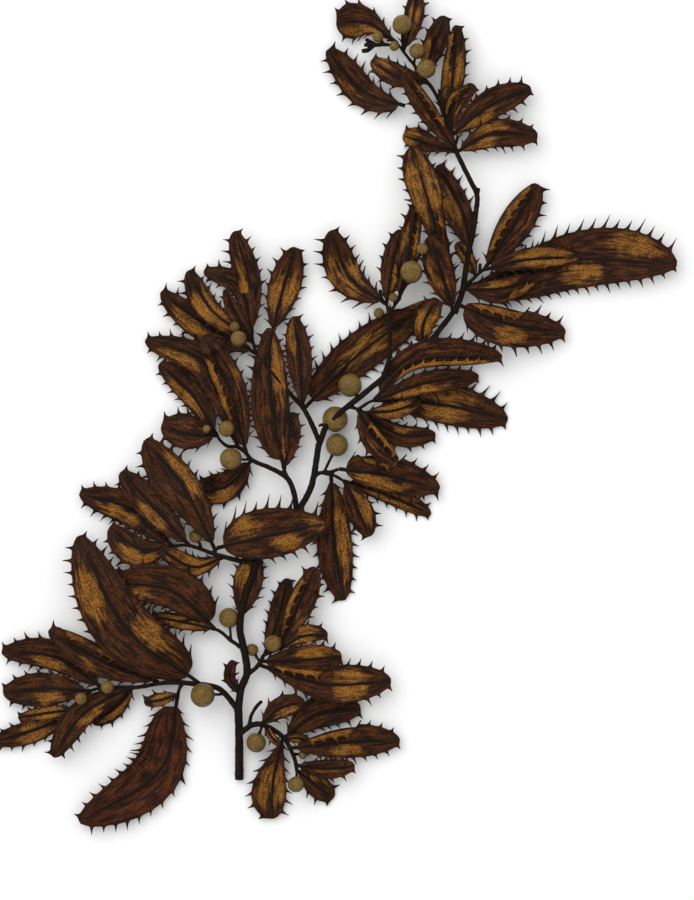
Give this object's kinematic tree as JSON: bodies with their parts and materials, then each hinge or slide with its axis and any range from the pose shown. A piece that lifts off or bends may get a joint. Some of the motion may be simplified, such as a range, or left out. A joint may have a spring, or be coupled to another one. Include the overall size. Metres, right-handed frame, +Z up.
{
  "type": "seaweed sprig",
  "caption": "Cut sprig of broad-leaved brown sargassum seaweed lying flat, with toothed leaves, round air bladders and forked stems.",
  "frame": {"origin": "centre of the sprig's box, on the table it lies on", "axes": "+Z up from the table, +Y from the cut end towards the top, +X to the right seen from above"},
  "size_m": [0.2058, 0.2528, 0.0164],
  "materials": {
    "stem": "satin, near-black brown",
    "branch": "satin, brown with olive-gold bladders",
    "leaf": "satin, dark brown with ochre patches"
  },
  "bodies": {
    "root": {"main_stem_lower": "stem", "main_stem_middle": "stem", "main_stem_upper": "stem", "upper_left_arm": "branch", "right_arm_lower": "branch", "right_arm_middle": "branch", "right_arm_upper": "branch", "top_branch": "branch", "upper_left_branch": "branch", "middle_branch": "branch", "lower_left_branch": "branch", "lower_right_branch": "branch", "right_side_branch": "branch", "left_side_branch": "branch", "left_middle_branch": "branch", "top_leaf_1": "leaf", "middle_leaf_6": "leaf", "middle_leaf_1": "leaf", "middle_leaf_3": "leaf", "middle_leaf_5": "leaf", "middle_leaf_7": "leaf", "middle_leaf_8": "leaf", "right_leaf_1": "leaf", "right_leaf_2": "leaf", "right_leaf_4": "leaf", "left_leaf_2": "leaf", "left_leaf_3": "leaf", "lower_left_leaf_1": "leaf", "lower_left_leaf_2": "leaf", "lower_left_leaf_3": "leaf", "lower_left_leaf_4": "leaf", "lower_left_leaf_5": "leaf", "lower_left_leaf_8": "leaf", "lower_right_leaf_1": "leaf", "lower_right_leaf_2": "leaf", "lower_right_leaf_3": "leaf", "upper_left_leaf_1": "leaf", "upper_left_leaf_4": "leaf", "upper_left_leaf_5": "leaf", "upper_left_leaf_7": "leaf", "top_leaf_6": "leaf", "top_leaf_7": "leaf", "top_leaf_9": "leaf", "right_leaf_6": "leaf", "right_leaf_8": "leaf", "right_leaf_9": "leaf", "right_leaf_11": "leaf", "right_leaf_15": "leaf", "right_leaf_16": "leaf", "left_leaf_6": "leaf", "left_leaf_7": "leaf", "lower_left_leaf_10": "leaf", "lower_left_leaf_11": "leaf", "lower_right_leaf_6": "leaf", "lower_right_leaf_10": "leaf", "lower_right_leaf_11": "leaf", "upper_left_leaf_8": "leaf", "upper_left_leaf_9": "leaf", "upper_left_leaf_10": "leaf", "upper_left_leaf_11": "leaf"}
  },
  "joints": []
}
